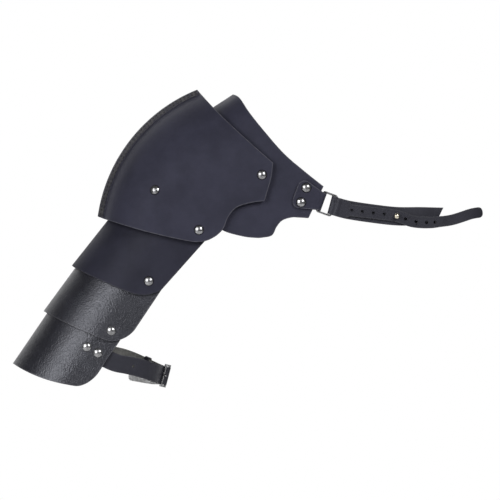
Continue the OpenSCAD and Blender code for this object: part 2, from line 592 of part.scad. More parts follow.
billet_path = concat(
    [for (s = front_line) loop_station(s, -1, 0)],
    [buckle_station(-bar_t, under_bar), buckle_station(-bar_t / 2, lerp(under_bar, billet_over, 0.55)),
     buckle_station(0, billet_over), buckle_station(bar_t / 2, lerp(under_bar, billet_over, 0.55)),
     buckle_station(bar_t, under_bar)],
    [for (s = billet_tail) loop_station(s, 1, s[3])]);
billet_rows = 56;
round_end = 0.035;
function end_share(t) = t < round_end ? (round_end - t) / round_end : t > 1 - round_end ? (t - 1 + round_end) / round_end : 0;
function end_round(e) = pow(max(0.002, 1 - pow(e, 4)), 0.25);
function billet_row(t) = ribbon_row(curve(billet_path, t), arm_strap_w / 2 * end_round(end_share(t)), false);
prong_u = [centre_bar_d / 2 + 0.3 + prong_d / 2, outer_bar_u + buckle_bar / 2 + 0.3 + prong_d / 2];
prong_dir = unit([-bar_t, prong_u[1] - prong_u[0], 0]);
prong_play = 1.7;
billet_hole_t = 5.35 / (len(billet_path) - 1);
module arm_strap_billet() {
    color(leather) difference() {
        sheet([for (i = [0 : billet_rows]) let (x = i / billet_rows)
               billet_row(x < 0.07 ? round_end * (1 - cos(90 * x / 0.07)) : x > 0.93 ?
                          1 - round_end * (1 - cos(90 * (1 - x) / 0.07))
                          : lerp(round_end, 1 - round_end, (x - 0.07) / 0.86))], arm_strap_t);
        for (p = strap_rivet_ab) strap_hole(p, -1);
        in_buckle() translate([0, prong_u[0] + 0.15, 0]) aim_in_plane(prong_dir)
            cylinder(d = prong_d + prong_play, h = bar_t - 2, $fn = round_fn);
        s = curve(billet_path, billet_hole_t);
        aim([s[0], s[1], s[2]], unit(cross(path_dir3(billet_path, billet_hole_t), [s[3], s[4], s[5]])))
            cylinder(d = strap_hole_d - 0.6, h = 4 * arm_strap_t, center = true, $fn = round_fn);
    }
}
function path_dir3(p, t) = let (a = curve(p, t - 0.01), b = curve(p, t + 0.01)) unit([b[0] - a[0], b[1] - a[1], b[2] - a[2]]);
module aim_in_plane(d) {
    place([0, 0, 0], [-d[1], d[0], 0], [0, 0, 1], d) children();
}
strap_rivet_ab = [[strap_a + 0.8, 5.2], [strap_a - 0.4, -8.3]];
module strap_hole(p, side) {
    xz = arm_to_xz(p[0], p[1]);
    translate([xz[0], side * yoke_depth, xz[1]]) rotate([90, 0, 0])
        cylinder(d = rivet_hole_d, h = yoke_depth, center = true, $fn = round_fn);
}
module arm_strap_rivets() {
    both_sides() for (p = strap_rivet_ab) {
        out = lame_out(2, p[0], p[1]);
        bend = (lame_out(2, p[0], p[1] - rivet_head_d / 2) - lame_out(2, p[0], p[1] + rivet_head_d / 2)) / 2;
        rivet_along_y(arm_to_xz(p[0], p[1]), out, out - leather_t - lining_gap - arm_strap_t - abs(bend) - 0.1);
    }
}
buckle_path = concat(
    [for (s = back_line) loop_station(s, 1, 0)],
    [buckle_station(bar_t, under_bar - layer), buckle_station(bar_t / 2, lerp(under_bar - layer, fold_r, 0.5))],
    [for (turn = [90 : 30 : 270]) buckle_station(fold_r * cos(turn), fold_r * sin(turn))],
    [buckle_station(bar_t / 2, lerp(under_bar, fold_r, 0.5) - 2 * layer - 1.5),
     buckle_station(bar_t, under_bar - 2 * layer - arm_strap_t - 0.5),
     buckle_station(bar_t + 5, under_bar - 2 * layer - arm_strap_t - 1.8)]);
buckle_strap_rows = 84;
module arm_strap_buckle_side() {
    color(leather) difference() {
        sheet([for (i = [0 : buckle_strap_rows]) let (x = i / buckle_strap_rows, t = x < 0.05 ?
                   0.03 * (1 - cos(90 * x / 0.05)) : lerp(0.03, 1, (x - 0.05) / 0.95),
                   e = t < 0.03 ? (0.03 - t) / 0.03 : 0)
               ribbon_row(curve(buckle_path, t), arm_strap_w / 2 * end_round(e), true)], arm_strap_t);
        for (p = strap_rivet_ab) strap_hole(p, 1);
        in_buckle() translate([-fold_r - 2, -fold_r - 1, -prong_d / 2 - 0.6])
            cube([2 * fold_r + 3, 2 * fold_r + 2, prong_d + 1.2]);
    }
}
// Buckle: an arched frame with a centre bar
arch_r = (bar_t * bar_t + outer_bar_u * outer_bar_u) / (2 * outer_bar_u);
module buckle_frame() {
    arm = (buckle_w + buckle_bar) / 2;
    color(steel) in_buckle() {
        for (t = [-bar_t, bar_t]) translate([t, outer_bar_u, 0])
            cylinder(d = buckle_bar, h = 2 * arm, center = true, $fn = round_fn);
        cylinder(d = centre_bar_d, h = 2 * arm, center = true, $fn = round_fn);
        for (s = [-1, 1]) translate([0, 0, s * arm]) linear_extrude(buckle_bar, center = true) {
            intersection() {
                translate([0, arch_r]) difference() {
                    circle(arch_r + buckle_bar / 2, $fn = 4 * round_fn);
                    circle(arch_r - buckle_bar / 2, $fn = 4 * round_fn);
                }
                translate([-bar_t, -buckle_bar]) square([2 * bar_t, outer_bar_u + 3 * buckle_bar]);
            }
            for (t = [-bar_t, bar_t]) translate([t, outer_bar_u]) circle(d = buckle_bar, $fn = round_fn);
        }
    }
}
module buckle_prong() {
    reach = bar_t + 3.5;
    color(steel) in_buckle() {
        rotate_extrude($fn = round_fn) translate([prong_u[0], 0]) circle(d = prong_d, $fn = 24);
        translate([0, prong_u[0], 0]) aim_in_plane(prong_dir) {
            cylinder(d = prong_d, h = reach, $fn = round_fn);
            translate([0, 0, reach]) sphere(d = prong_d, $fn = round_fn);
        }
    }
}
// Keeper: a leather loop round the back half, behind the buckle
keeper_t = 1.2;
keeper_at = 6.3 / (len(back_line) - 1);
function back_outer(t) = curve([for (s = back_line) loop_station(s, 1, 0)], t);
module round_rect(w, h, r) {
    square([w, h - 2 * r], center = true);
    square([w - 2 * r, h], center = true);
    for (x = [r - w / 2, w / 2 - r]) for (y = [r - h / 2, h / 2 - r]) translate([x, y]) circle(r, $fn = 24);
}
module strap_keeper() {
    s = back_outer(keeper_at);
    ahead = back_outer(keeper_at + 0.01);
    w = [s[3], s[4], s[5]];
    along = unit([ahead[0] - s[0], ahead[1] - s[1], ahead[2] - s[2]]);
    out = unit(cross(w, along));
    half_t = arm_strap_t / 2 + 0.5;
    half_w = arm_strap_w / 2 + 0.5;
    color(leather) place([s[0], s[1], s[2]] - out * arm_strap_t / 2, out, cross(along, out), along)
        linear_extrude(keeper_w, center = true) difference() {
            round_rect(2 * (half_t + keeper_t), 2 * (half_w + keeper_t), keeper_t + 0.5);
            round_rect(2 * half_t, 2 * half_w, 0.5);
        }
}

cap_front_panel();
cap_back_panel();
yoke();
lame_1();
lame_2();
lame_3();
cap_rivets();
lame_1_pivots();
lame_2_pivots();
lame_3_pivots();
front_tab();
back_tab();
tab_rivets();
front_ring();
back_ring();
chest_strap();
chest_stud();
stud_screw();
arm_strap_billet();
arm_strap_buckle_side();
arm_strap_rivets();
buckle_frame();
buckle_prong();
strap_keeper();
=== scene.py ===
import math

import bmesh
import bpy
from mathutils import Matrix, Vector
from mathutils.kdtree import KDTree


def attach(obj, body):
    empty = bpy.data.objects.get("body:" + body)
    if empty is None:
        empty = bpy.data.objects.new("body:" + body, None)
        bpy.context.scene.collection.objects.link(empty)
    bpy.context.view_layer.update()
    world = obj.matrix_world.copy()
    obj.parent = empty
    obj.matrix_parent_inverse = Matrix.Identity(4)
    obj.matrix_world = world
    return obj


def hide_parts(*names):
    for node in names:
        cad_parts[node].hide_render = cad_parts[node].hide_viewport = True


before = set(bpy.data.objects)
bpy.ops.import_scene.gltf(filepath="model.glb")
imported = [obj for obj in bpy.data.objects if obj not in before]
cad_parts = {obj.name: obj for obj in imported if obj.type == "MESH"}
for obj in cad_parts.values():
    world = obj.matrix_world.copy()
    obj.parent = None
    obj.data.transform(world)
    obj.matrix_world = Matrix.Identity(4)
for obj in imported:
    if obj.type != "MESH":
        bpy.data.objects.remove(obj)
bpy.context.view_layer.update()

# Camera and lamps: a long lens looks straight along +Y, as the photo was taken. Two large soft lamps
# stand in front, one low on the arm side and one high on the chest side, and one stands high behind.
mm_per_pixel = 1.08
photo_width = 500
photo_middle = photo_width / 2
shoulder_pixel = (177.1, 220.8)
camera_distance = 20.0
front_of_object = 0.04
sensor_width = 36
camera = bpy.data.objects.new("camera", bpy.data.cameras.new("camera"))
bpy.context.collection.objects.link(camera)
camera.data.sensor_width = sensor_width
frame_width = photo_width * mm_per_pixel / 1000
camera.data.lens = sensor_width * camera_distance / frame_width
camera.data.clip_end = 90
camera.location = (
    (photo_middle - shoulder_pixel[0]) * mm_per_pixel / 1000,
    -camera_distance - front_of_object,
    (shoulder_pixel[1] - photo_middle) * mm_per_pixel / 1000,
)
camera.rotation_euler = (math.pi / 2, 0, 0)
bpy.context.scene.camera = camera
bpy.context.scene.view_settings.view_transform = "Standard"


def soft_lamp(name, place, aim, size, power, spread=180):
    lamp = bpy.data.objects.new(name, bpy.data.lights.new(name, "AREA"))
    lamp.data.shape = "RECTANGLE"
    lamp.data.size, lamp.data.size_y = size
    lamp.data.energy = power
    lamp.data.spread = math.radians(spread)
    lamp.location = place
    lamp.rotation_euler = (Vector(aim) - Vector(place)).to_track_quat("-Z", "Y").to_euler()
    lamp.visible_camera = False
    bpy.context.collection.objects.link(lamp)


soft_lamp("arm_lamp", (-0.78, -1.06, 0.27), (-0.13, -0.06, -0.19), (0.85, 0.95), 3.9, 85)
soft_lamp("chest_lamp", (1.2, -1.6, 1.0), (0.1, 0, 0), (0.8, 0.8), 30)
soft_lamp("back_lamp", (-0.4, 2.0, 1.7), (0, 0, 0), (1.4, 1.0), 30)


# Room and floor: the room is white to the camera, and the pale floor keeps the object's shadow. Their
# shaders, like all that follow, are written as maths on sockets.
class Tone:
    """A socket of a node tree, so that shader maths reads as plain Python."""

    def __init__(self, tree, socket=None):
        self.tree = tree
        self.socket = socket

    def node(self, kind, settings=None, sockets=None, output=0):
        made = self.tree.nodes.new(kind)
        for name, value in (settings or {}).items():
            setattr(made, name, value)
        for name, value in (sockets or {}).items():
            if isinstance(value, Tone):
                self.tree.links.new(value.socket, made.inputs[name])
            else:
                made.inputs[name].default_value = value
        return Tone(self.tree, made.outputs[output])

    def maths(self, operation, first, second=0.0):
        return self.node("ShaderNodeMath", {"operation": operation}, {0: first, 1: second})

    def __add__(self, other):
        return self.maths("ADD", self, other)

    def __mul__(self, other):
        return self.maths("MULTIPLY", self, other)

    __radd__ = __add__
    __rmul__ = __mul__

    def between(self, low, high, low_value=0.0, high_value=1.0):
        return self.node(
            "ShaderNodeMapRange",
            {"interpolation_type": "SMOOTHSTEP"},
            {"Value": self, "From Min": low, "From Max": high, "To Min": low_value, "To Max": high_value},
        )

    def noise(self, scale, detail, roughness=0.5):
        sockets = {"Vector": self, "Scale": scale, "Detail": detail, "Roughness": roughness}
        return self.node("ShaderNodeTexNoise", None, sockets)

    def blend(self, first, second):
        return self.node("ShaderNodeMix", {"data_type": "RGBA"}, {0: self, 6: first, 7: second}, 2)

    def relief(self, strength):
        return self.node("ShaderNodeBump", None, {"Height": self, "Distance": 1.0, "Strength": strength})


def start_material(name):
    material = bpy.data.materials.new(name)
    material.use_nodes = True
    tree = material.node_tree
    tree.nodes.clear()
    shader = tree.nodes.new("ShaderNodeBsdfPrincipled")
    tree.links.new(shader.outputs[0], tree.nodes.new("ShaderNodeOutputMaterial").inputs[0])
    return material, Tone(tree), shader


def connect(tone, shader, name):
    tone.tree.links.new(tone.socket, shader.inputs[name])


world = bpy.data.worlds.new("studio")
bpy.context.scene.world = world
world.use_nodes = True
world.node_tree.nodes.clear()
sky = Tone(world.node_tree)
heading = sky.node("ShaderNodeTexCoord", output="Generated")
behind = sky.node("ShaderNodeSeparateXYZ", None, {0: heading}, "Y")
# What lights the object is white behind it only, and dim on every other side
room = behind.between(0.6, 0.97, 0.1, 1.0)
# What polished metal mirrors of the room is the white backdrop behind, and the darker studio in front
mirrored = sky.node("ShaderNodeMapRange", None, {"Value": behind, "From Min": 0.55, "From Max": 0.8})
shining = sky.node("ShaderNodeLightPath", output="Is Glossy Ray") * mirrored
seen = sky.node("ShaderNodeLightPath", output="Is Camera Ray")
seen_through = sky.node("ShaderNodeLightPath", output="Is Transmission Ray")
white = sky.maths("MAXIMUM", seen, seen_through)
strength = sky.maths("MAXIMUM", sky.maths("MAXIMUM", white, shining), room)
backdrop = sky.node("ShaderNodeBackground", None, {"Color": (1, 1, 1, 1), "Strength": strength})
world_output = world.node_tree.nodes.new("ShaderNodeOutputWorld")
world.node_tree.links.new(backdrop.socket, world_output.inputs[0])

floor_half_width = 0.8
floor_height = -0.33
floor_material, _, floor_shader = start_material("pale_floor")
floor_shader.inputs["Base Color"].default_value = (0.8, 0.8, 0.8, 1)
floor_shader.inputs["Roughness"].default_value = 0.7
floor_shader.inputs["Emission Color"].default_value = (1, 1, 1, 1)
floor_shader.inputs["Emission Strength"].default_value = 0.05
bm = bmesh.new()
bmesh.ops.create_grid(bm, x_segments=1, y_segments=1, size=floor_half_width)
bmesh.ops.translate(bm, verts=bm.verts, vec=(0, 0, floor_height))
floor_mesh = bpy.data.meshes.new("floor")
bm.to_mesh(floor_mesh)
bm.free()
floor_mesh.materials.append(floor_material)
floor = bpy.data.objects.new("floor", floor_mesh)
bpy.context.collection.objects.link(floor)


# Yoke: one piece of thick veg-tanned leather, dyed black, cut to shape and folded over the shoulder
# without a crease, so that one wing lies on the chest and one on the back. The cap covers the arm side
# of both.
plate_thickness = 2.6
yoke_depth = 68
yoke_round = 100
yoke_round_arm_share = 0.73
yoke_round_start = -23.9
yoke_round_run = 90
yoke_fold_slope = math.radians(33)
yoke_fold_point = (60.31, 136.87)
yoke_fold_edge = [(-1.22, 96.93), (19.99, 110.73), (38.82, 122.93), (49.99, 130.18), yoke_fold_point]
yoke_tip = (158.1, 37.1)
yoke_heel = (142, 3)
yoke_heel_share = 22 / 26
yoke_wing_crowding = 1.4
yoke_neck_edge = [
    yoke_fold_point,
    (67.5, 132.8),
    (78.2, 116.9),
    (93.6, 97.5),
    (115.1, 72.9),
    (137.1, 53.8),
    yoke_tip,
]
yoke_left_edge = [yoke_fold_edge[0], (-21, 72), (-31.3, 45), (-30.6, 27), (-22, 17)]
yoke_low_edge = [
    (-22, 17),
    (8, 9),
    (34, 4),
    (48.5, -9.9),
    (69, -16.4),
    (84.1, -18.4),
    (93.4, -18),
    (102.7, -15.5),
    (107.7, -6.3),
    (113.9, 0.5),
    (123.8, 3.7),
    (132.7, 3.6),
    yoke_heel,
]


def between(low, high, share):
    return low + (high - low) * share


def clamp(value, low=0.0, high=1.0):
    return max(low, min(high, value))


def along_curve(points, share):
    """Point at a share, from 0 to 1, of the smooth curve that runs through all the points."""
    last = len(points) - 1
    position = clamp(share) * last
    i = min(int(position), last - 1)
    f = position - i
    p0, p1, p2, p3 = points[max(i - 1, 0)], points[i], points[i + 1], points[min(i + 2, last)]
    return [
        0.5
        * (
            2 * b
            + (c - a) * f
            + (2 * a - 5 * b + 4 * c - d) * f * f
            + (3 * b - a - 3 * c + d) * f * f * f
        )
        for a, b, c, d in zip(p0, p1, p2, p3)
    ]


def span_between(top, low, left, right, corners, u, v):
    """Point of a sheet that is held between four edges, each given at this u or v."""
    top_left, top_right, low_left, low_right = corners
    return [
        between(top[k], low[k], v)
        + between(left[k], right[k], u)
        - between(between(top_left[k], top_right[k], u), between(low_left[k], low_right[k], u), v)
        for k in (0, 1)
    ]


def yoke_out(x, z):
    below = (x - yoke_fold_point[0]) * math.sin(yoke_fold_slope)
    below -= (z - yoke_fold_point[1]) * math.cos(yoke_fold_slope)
    full = yoke_round * between(yoke_round_arm_share, 1, clamp((x - yoke_round_start) / yoke_round_run))
    n = clamp(below / full)
    return yoke_depth * math.sqrt(1 - (1 - n) ** 2)


def yoke_low_point(u):
    if u < yoke_heel_share:
        return along_curve(yoke_low_edge, u / yoke_heel_share)
    share = (u - yoke_heel_share) / (1 - yoke_heel_share)
    return [between(yoke_heel[k], yoke_tip[k], share) for k in (0, 1)]


def yoke_point(u, v):
    wing = abs(2 * v - 1)
    reach = wing**yoke_wing_crowding
    x, z = span_between(
        along_curve(yoke_fold_edge, u),
        yoke_low_point(u),
        along_curve(yoke_left_edge, reach),
        along_curve(yoke_neck_edge, reach),
        (yoke_fold_edge[0], yoke_fold_point, yoke_left_edge[-1], yoke_tip),
        u,
        reach,
    )
    side = -1 if v > 0.5 else 1
    return x, side * yoke_out(x, z), z


# Every rivet's surface points, from which the sheets measure how near a rivet they lie, to paint a shadow
# round each rivet
rivet_nodes = ["cap_rivets", "lame_1_pivots", "lame_2_pivots", "lame_3_pivots", "tab_rivets"]
rivet_nodes += ["arm_strap_rivets"]
rivet_spots = [v.co for node in rivet_nodes for v in bpy.data.objects[node].data.vertices]
rivet_caps = KDTree(len(rivet_spots))
for i, spot in enumerate(rivet_spots):
    rivet_caps.insert(spot, i)
rivet_caps.balance()


def leather_sheet(name, across, along, place, thickness, inside, body, node, materials, holes=()):
    """A cut piece of leather: its outer face follows place(u, v) in mm.

    The wall grows towards inside, a point on the inner side. The materials are those of the outer face, of
    the cut edge and of the inner face.
    """
    weld_distance = 0.00002
    edge_round_share = 0.22
    bm = bmesh.new()
    bmesh.ops.create_grid(bm, x_segments=across, y_segments=along, size=1)
    for vert in bm.verts:
        vert.co = Vector(place((vert.co.x + 1) / 2, (vert.co.y + 1) / 2)) / 1000
    bmesh.ops.remove_doubles(bm, verts=bm.verts, dist=weld_distance)
    # Each point keeps its distance to the cut edge and to the nearest rivet; the second places the shadow
    # painted round each rivet
    margin = bm.verts.layers.float.new("margin")
    rivet_distance = bm.verts.layers.float.new("rivet_distance")
    rim = [v for v in bm.verts if v.is_boundary]
    near = KDTree(len(rim))
    for i, vert in enumerate(rim):
        near.insert(vert.co, i)
    near.balance()
    for vert in bm.verts:
        vert[margin] = near.find(vert.co)[2] * 1000
        vert[rivet_distance] = rivet_caps.find(vert.co)[2] * 1000
    for centre, direction, radius in holes:
        punch(bm, Vector(centre) / 1000, Vector(direction), radius / 1000)
    bm.normal_update()
    middle = Vector(inside) / 1000
    if sum(f.normal.dot(f.calc_center_median() - middle) * f.calc_area() for f in bm.faces) < 0:
        bmesh.ops.reverse_faces(bm, faces=bm.faces)
    for face in bm.faces:
        face.smooth = True
    mesh = bpy.data.meshes.new(name)
    bm.to_mesh(mesh)
    bm.free()
    for material in materials:
        mesh.materials.append(material)
    piece = bpy.data.objects.new(name, mesh)
    bpy.context.collection.objects.link(piece)
    wall = piece.modifiers.new("wall", "SOLIDIFY")
    wall.thickness = thickness / 1000
    wall.offset = -1
    wall.use_even_offset = False
    wall.material_offset = 2
    wall.material_offset_rim = 1
    rounded = piece.modifiers.new("rounded_edge", "BEVEL")
    rounded.width = thickness / 1000 * edge_round_share
    rounded.segments = 2
    rounded.limit_method = "ANGLE"
    rounded.angle_limit = math.radians(55)
    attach(piece, body)
    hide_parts(node)


def punch(bm, centre, direction, radius):
    """Round hole through a sheet: its faces go, and the ring of points that stays moves to the circle."""
    direction = direction.normalized()
    layer_reach = 0.0022
    search_reach = 6 * radius
    cut_reach = 0.8 * radius
    ring_reach = 2.2 * radius

    def offset(co):
        gap = co - centre
        return gap - direction * gap.dot(direction)

    def on_layer(co):
        return abs((co - centre).dot(direction)) < layer_reach

    near = [v for v in bm.verts if (v.co - centre).length < search_reach and on_layer(v.co)]
    near = [v for v in near if offset(v.co).length < cut_reach]
    bmesh.ops.delete(bm, geom=near, context="VERTS")
    for vert in bm.verts:
        gap = offset(vert.co)
        if vert.is_boundary and gap.length < ring_reach and on_layer(vert.co):
            vert.co += gap * (radius / gap.length - 1)


def black_leather(name, colour, edge_rub_and_highlight, gloss, pebble=0.0, seed=0.0, shine=0.5, ridge=None):
    """Dyed leather: cloudy colour, with rubbed wear and a painted highlight at its cut edges, waves, pores
    and, for pebble, a grain.

    ridge is the centre and the radius of a seam's arc, and the seam's width in mm: the leather beyond the
    seam is greyer, and a highlight is painted on the bend beside it.
    """
    bend_highlight_colour = (0.055, 0.055, 0.07, 1)
    allowance_colour = (0.066, 0.064, 0.066, 1)
    rivet_shadow_colour = (0.003, 0.003, 0.003, 1)
    material, tone, shader = start_material(name)
    place = tone.node("ShaderNodeTexCoord", output="Object")
    shifted = tone.node("ShaderNodeMapping", None, {"Vector": place, "Location": (seed, seed * 0.7, 0)})
    cloud = shifted.noise(28, 4, 0.6)
    scuff = shifted.noise(240, 5, 0.7)
    pores = shifted.noise(1500, 2)
    waves = shifted.noise(17, 2, 0.45)
    margin = tone.node("ShaderNodeAttribute", {"attribute_name": "margin"}, output="Fac")
    rivet_distance = tone.node("ShaderNodeAttribute", {"attribute_name": "rivet_distance"}, output="Fac")
    # A shadow is painted in a thin dark ring round each rivet, where the leather is also made rougher
    rivet_shadow_ring = rivet_distance.between(0.3, 1.7, 1, 0)
    # The face is lighter near its cut edges: scuffed wear, and a painted highlight along each edge
    edge_wear_and_highlight = margin.between(0.2, 1.3, 1, 0) * scuff.between(0.3, 0.65, 0.35, 1)
    dark = tuple(c * 0.86 for c in colour)
    light = tuple(c * 1.14 for c in colour)
    body_colour = cloud.between(0.3, 0.7).blend((*dark, 1), (*light, 1))
    if ridge:
        centre, radius, seam = ridge
        fold = radius - seam
        reach = tone.node("ShaderNodeVectorMath", {"operation": "SUBTRACT"}, {0: place, 1: centre})
        reach = tone.node("ShaderNodeVectorMath", {"operation": "MULTIPLY"}, {0: reach, 1: (1000, 0, 1000)})
        reach = tone.node("ShaderNodeVectorMath", {"operation": "LENGTH"}, {0: reach}, "Value")
        # A highlight is painted on a band just inside the seam, where the dome bends away from it
        bend = reach.between(fold - 11, fold - 4) * reach.between(fold, fold + 1, 1, 0)
        body_colour = (bend * 0.35).blend(body_colour, bend_highlight_colour)
        allowance = reach.between(fold, fold + 1.5) * scuff.between(0.35, 0.6, 0.3, 1)
        body_colour = allowance.blend(body_colour, allowance_colour)
    body_colour = (edge_wear_and_highlight * 0.7).blend(body_colour, (*edge_rub_and_highlight, 1))
    connect((rivet_shadow_ring * 0.85).blend(body_colour, rivet_shadow_colour), shader, "Base Color")
    rough = gloss + cloud.between(0.35, 0.65, -0.02, 0.02) + scuff.between(0.3, 0.7, -0.04, 0.04)
    connect(rough + rivet_shadow_ring * 0.35, shader, "Roughness")
    shader.inputs["Specular IOR Level"].default_value = shine
    shader.inputs["Specular Tint"].default_value = (0.9, 0.92, 1, 1)
    height = waves * 0.0014 + scuff * 0.00004 + pores * 0.000015
    if pebble:
        height = height + shifted.noise(620, 1) * (pebble * 0.0002)
    connect(height.relief(1.0), shader, "Normal")
    return material


def cut_edge(name, colour):
    """Cut edge of leather: dyed less deeply than the face, with fibres along it."""
    material, tone, shader = start_material(name)
    place = tone.node("ShaderNodeTexCoord", output="Object")
    fibre = place.noise(700, 4, 0.65)
    lighter = tuple(c * 1.8 for c in colour)
    connect(fibre.between(0.35, 0.7).blend((*colour, 1), (*lighter, 1)), shader, "Base Color")
    shader.inputs["Roughness"].default_value = 0.62
    connect((fibre * 0.0002).relief(0.6), shader, "Normal")
    return material


def flesh_side(name, colour):
    """Inner side of leather: matte, with a short nap and no grain."""
    material, tone, shader = start_material(name)
    place = tone.node("ShaderNodeTexCoord", output="Object")
    nap = place.noise(420, 6, 0.75)
    cloud = place.noise(60, 3)
    darker = tuple(c * 0.7 for c in colour)
    lighter = tuple(c * 1.25 for c in colour)
    mottle = (nap * 0.6 + cloud * 0.4).between(0.35, 0.65)
    connect(mottle.blend((*darker, 1), (*lighter, 1)), shader, "Base Color")
    shader.inputs["Roughness"].default_value = 0.9
    connect((nap * 0.0003).relief(0.8), shader, "Normal")
    return material


smooth_colour = (0.027, 0.027, 0.042)
# The edge colour stands for rubbed wear of the cut edges together with their painted highlight
smooth_edge_rub_and_highlight = (0.1, 0.1, 0.115)
smooth_black = black_leather("smooth_black_leather", smooth_colour, smooth_edge_rub_and_highlight, 0.66, shine=0.14)
dyed_edge = cut_edge("dyed_cut_edge", (0.018, 0.018, 0.022))
inner_side = flesh_side("dyed_flesh_side", (0.05, 0.05, 0.052))
leather_sheet(
    "yoke_leather",
    150,
    190,
    yoke_point,
    plate_thickness,
    (60, 0, 40),
    "cap_and_yoke",
    "yoke",
    [smooth_black, dyed_edge, inner_side],
)


# Arm plates: three pieces of the same leather, bent wet round the arm, with rounded corners in front and
# behind. Each lies inside the one above it and turns on a rivet at either side. The upper one is nearly
# smooth, and the grain of the other two is pebbled.
arm_tilt = math.radians(33.8)
lap_gap = 0.9
side_gap = 1.8
seat_gap = 0.3
pivots = [(-5, -25.2), (71, -10.9), (138, -7)]
arm_half_width = 67.9
cap_low_a = 40.5
plate_lap = 22
plate_low = [pivots[1][0] + 32.7, pivots[2][0] + 23.4, pivots[2][0] + 89]
plate_top = [cap_low_a - plate_lap - 2, plate_low[0] - plate_lap, plate_low[1] - plate_lap]
width_flare = [0.08, 0.042, 0.008]
depth_flare = [0.037, 0.032, 0.015]
front_overhang = [27.6, 27.2, 20.4]
front_slant = [0.139, 0, 0]
front_slant_from = 69
front_flatness = 0.05
front_top = 12
low_rise = [18.2, 16.8, 24]
low_bow = [0.5, 0.5, 0.87]
low_corner = [(25, 16), (20, 22), (13, 18)]
top_corner = (12, 10)


def arm_to_xz(a, b):
    x = -a * math.sin(arm_tilt) - b * math.cos(arm_tilt)
    z = -a * math.cos(arm_tilt) + b * math.sin(arm_tilt)
    return x, z


def xz_to_arm(x, z):
    a = -x * math.sin(arm_tilt) - z * math.cos(arm_tilt)
    b = -x * math.cos(arm_tilt) + z * math.sin(arm_tilt)
    return a, b


def plate_half_width(k, a):
    if k == 0:
        return arm_half_width + width_flare[0] * (a - plate_low[0])
    above = plate_half_width(k - 1, plate_low[k - 1])
    return above - plate_thickness - side_gap + width_flare[k] * (a - plate_low[k - 1])


def plate_depth(k, a):
    if k == 0:
        return yoke_depth + seat_gap - lap_gap + depth_flare[0] * (a - pivots[0][0])
    above = plate_depth(k - 1, pivots[k][0])
    return above - plate_thickness - lap_gap + depth_flare[k] * (a - pivots[k][0])


def plate_out(k, a, b):
    s = b / plate_half_width(k, a)
    if b > 0:
        return plate_depth(k, a) * math.sqrt(max(0, 1 - s * s))
    return plate_depth(k, a) * (1 - front_flatness * s * s)


def corner_cut(size, e):
    """How far the curve of a corner cuts in, at the distance e from the sheet's side."""
    if e >= size[0]:
        return 0
    return size[1] * (1 - math.sqrt(max(0, 1 - (1 - e / size[0]) ** 2)))


def plate_point(k):
    bend_share = 0.62

    def place(u, v):
        s = abs(2 * u - 1)
        width = plate_half_width(k, plate_low[k])
        hang = front_overhang[k]
        bend = math.radians(90) * min(s / bend_share, 1)
        flank = math.sin(math.radians(90) * clamp((s - bend_share) / (1 - bend_share)))
        b = width * math.cos(bend) if s <= bend_share else -hang * flank
        f = (width - b) / (width + hang)
        low = plate_low[k] - low_rise[k] * between(f, f * f, low_bow[k])
        low -= corner_cut(low_corner[k], b + hang)
        top = between(plate_top[k], pivots[k][0] - front_top, f) + corner_cut(top_corner, b + hang)
        a = between(low, top, v)
        if s <= bend_share:
            b = plate_half_width(k, a) * math.cos(bend)
            y = plate_depth(k, a) * math.sin(bend)
        else:
            b = -(hang + front_slant[k] * (front_slant_from - a)) * flank
            y = plate_out(k, a, b)
        x, z = arm_to_xz(a, b)
        return x, (y if u < 0.5 else -y), z

    return place


pebbled_black = black_leather(
    "pebbled_black_leather", (0.006, 0.006, 0.01), (0.08, 0.08, 0.09), 0.4, pebble=2.6, seed=3, shine=0.75
)
plate_black = black_leather(
    "plate_black_leather", (0.018, 0.018, 0.028), (0.05, 0.05, 0.06), 0.6, seed=3, shine=0.14
)
for k, body in enumerate(["plate_1", "plate_2", "plate_3"]):
    middle = arm_to_xz((plate_low[k] + plate_top[k]) / 2, 0)
    leather_sheet(
        f"arm_plate_{k + 1}_leather",
        260,
        90,
        plate_point(k),
        plate_thickness,
        (middle[0], 0, middle[1]),
        body,
        f"lame_{k + 1}",
        [pebbled_black if k else plate_black, dyed_edge, inner_side],
    )


# Cap: two mirrored panels of smooth leather, wet-formed into a dome and sewn together along the ridge,
# where their edges stand up face to face. It lies on the yoke and on the first arm plate.
ridge_centre = (86.2, -19.5)
ridge_radius = 174
ridge_low = 172.6
ridge_low_outer = 172
ridge_top = 111.25
ridge_top_outer = 111.8
seam_low_width = 7.6
seam_top_width = 5
cap_corner = (94.4, 21.4)
cap_shoulder = (103.7, 62.4)
cap_round_low = 46
cap_round_top = 96
cap_swell_low = 1.04
cap_swell_top = 1.06
cap_power_low = 0.5
cap_power_top = 0.8
yoke_left = -36.5
plate_reach = 25
plate_side = 52
past_edge_slope = 4
blend_below = 2
blend_own = 4


def smooth_max(first, second, k):
    h = clamp(0.5 + 0.5 * (first - second) / k)
    return between(second, first, h) + k * h * (1 - h)


def ridge_point(radius, degrees):
    """Point on an arc about the ridge's centre, in the plane of the seam."""
    turn = math.radians(degrees)
    return ridge_centre[0] + radius * math.cos(turn), ridge_centre[1] + radius * math.sin(turn)


def seam_share(degrees):
    return clamp((ridge_low - degrees) / (ridge_low - ridge_top))


def seam_width(degrees):
    return between(seam_low_width, seam_top_width, seam_share(degrees))


def seam_radius(degrees):
    return ridge_radius - seam_width(degrees)


